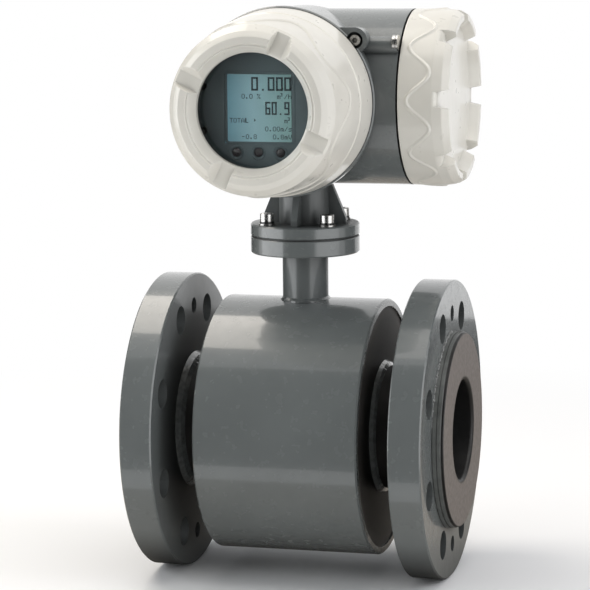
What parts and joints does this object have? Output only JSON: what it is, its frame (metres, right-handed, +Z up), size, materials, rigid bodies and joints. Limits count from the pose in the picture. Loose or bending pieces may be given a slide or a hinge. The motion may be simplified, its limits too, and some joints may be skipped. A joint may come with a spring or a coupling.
{
  "type": "electromagnetic flow meter",
  "caption": "Flanged magnetic flow meter with a round coil casing on a lined tube and a two-cover transmitter head with a round display on a bolted neck.",
  "frame": {"origin": "centre of the flow bore, midway between the two sealing faces", "axes": "+X along the flow bore towards the outlet, -Y the side that the display faces, +Z up to the transmitter"},
  "size_m": [0.2015, 0.2174, 0.3551],
  "materials": {
    "body_paint": "glossy mid grey enamel on steel and cast aluminium",
    "cover_paint": "glossy warm off-white enamel on cast aluminium",
    "stainless": "bright stainless steel",
    "liner_rubber": "smooth hard rubber, brown grey",
    "black_rubber": "black rubber",
    "anodised": "black anodised aluminium",
    "window": "clear flat safety glass",
    "panel_plastic": "slate grey moulded bezel",
    "screen": "pale liquid crystal screen",
    "key_lens": "dark red infra-red lens",
    "board": "green circuit board",
    "magnet_steel": "soft magnetic steel",
    "copper": "varnished copper winding",
    "insulator": "moulded insulating plastic",
    "gland_plastic": "black glass-filled nylon"
  },
  "bodies": {
    "meter": {"cable_glands": "gland_plastic", "clamp_screws": "stainless", "coil_shell": "body_paint", "cover_lock_screws": "stainless", "display_board": "board", "display_panel": "panel_plastic", "electrode_bushes": "insulator", "electrode_nuts": "stainless", "flat_washers": "stainless", "front_standoffs": "stainless", "gland_nuts": "gland_plastic", "gland_seals": "black_rubber", "harness_connector": "insulator", "inlet_end_plate": "body_paint", "inlet_flange": "body_paint", "inlet_liner_ring": "body_paint", "lcd_module": "screen", "lead_harness": "insulator", "lower_coil": "copper", "lower_pole_piece": "magnet_steel", "magnet_yoke": "magnet_steel", "main_board": "board", "measuring_tube": "body_paint", "middle_standoffs": "stainless", "neck_flange": "body_paint", "neck_gasket": "black_rubber", "neck_pipe": "body_paint", "optical_keys": "key_lens", "outlet_end_plate": "body_paint", "outlet_flange": "body_paint", "outlet_liner_ring": "body_paint", "panel_screws": "anodised", "partition_bushing": "insulator", "power_board": "board", "power_transformer": "magnet_steel", "rear_standoffs": "stainless", "signal_electrodes": "stainless", "spring_washers": "stainless", "terminal_block": "insulator", "terminal_plate": "insulator", "terminal_screws": "stainless", "transmitter_housing": "body_paint", "tube_liner": "liner_rubber", "upper_coil": "copper", "upper_pole_piece": "magnet_steel", "weld_beads": "body_paint"},
    "display_cap": {"display_cover": "cover_paint", "window_glass": "window", "glass_gasket": "black_rubber", "glass_retaining_ring": "anodised"},
    "terminal_cap": {"terminal_cover": "cover_paint"},
    "display_seal": {"display_cover_seal": "black_rubber"},
    "terminal_seal": {"terminal_cover_seal": "black_rubber"}
  },
  "joints": [
    {"name": "display_cover_turn", "type": "hinge", "parent": "meter", "child": "display_seal", "pos_m": [0.0006, -0.0556, 0.2054], "axis": [0, -1, 0], "range_deg": [0, 2160]},
    {"name": "display_cover_travel", "type": "slide", "parent": "display_seal", "child": "display_cap", "axis": [0, -1, 0], "range_m": [0, 0.0121]},
    {"name": "terminal_cover_turn", "type": "hinge", "parent": "meter", "child": "terminal_seal", "pos_m": [0.0711, 0, 0.2054], "axis": [1, 0, 0], "range_deg": [0, 2160]},
    {"name": "terminal_cover_travel", "type": "slide", "parent": "terminal_seal", "child": "terminal_cap", "axis": [1, 0, 0], "range_m": [0, 0.0121]}
  ],
  "couplings": [
    {"joint": "display_cover_travel", "follows": "display_cover_turn", "m_per_rad": 0.00031831},
    {"joint": "terminal_cover_travel", "follows": "terminal_cover_turn", "m_per_rad": 0.00031831}
  ]
}
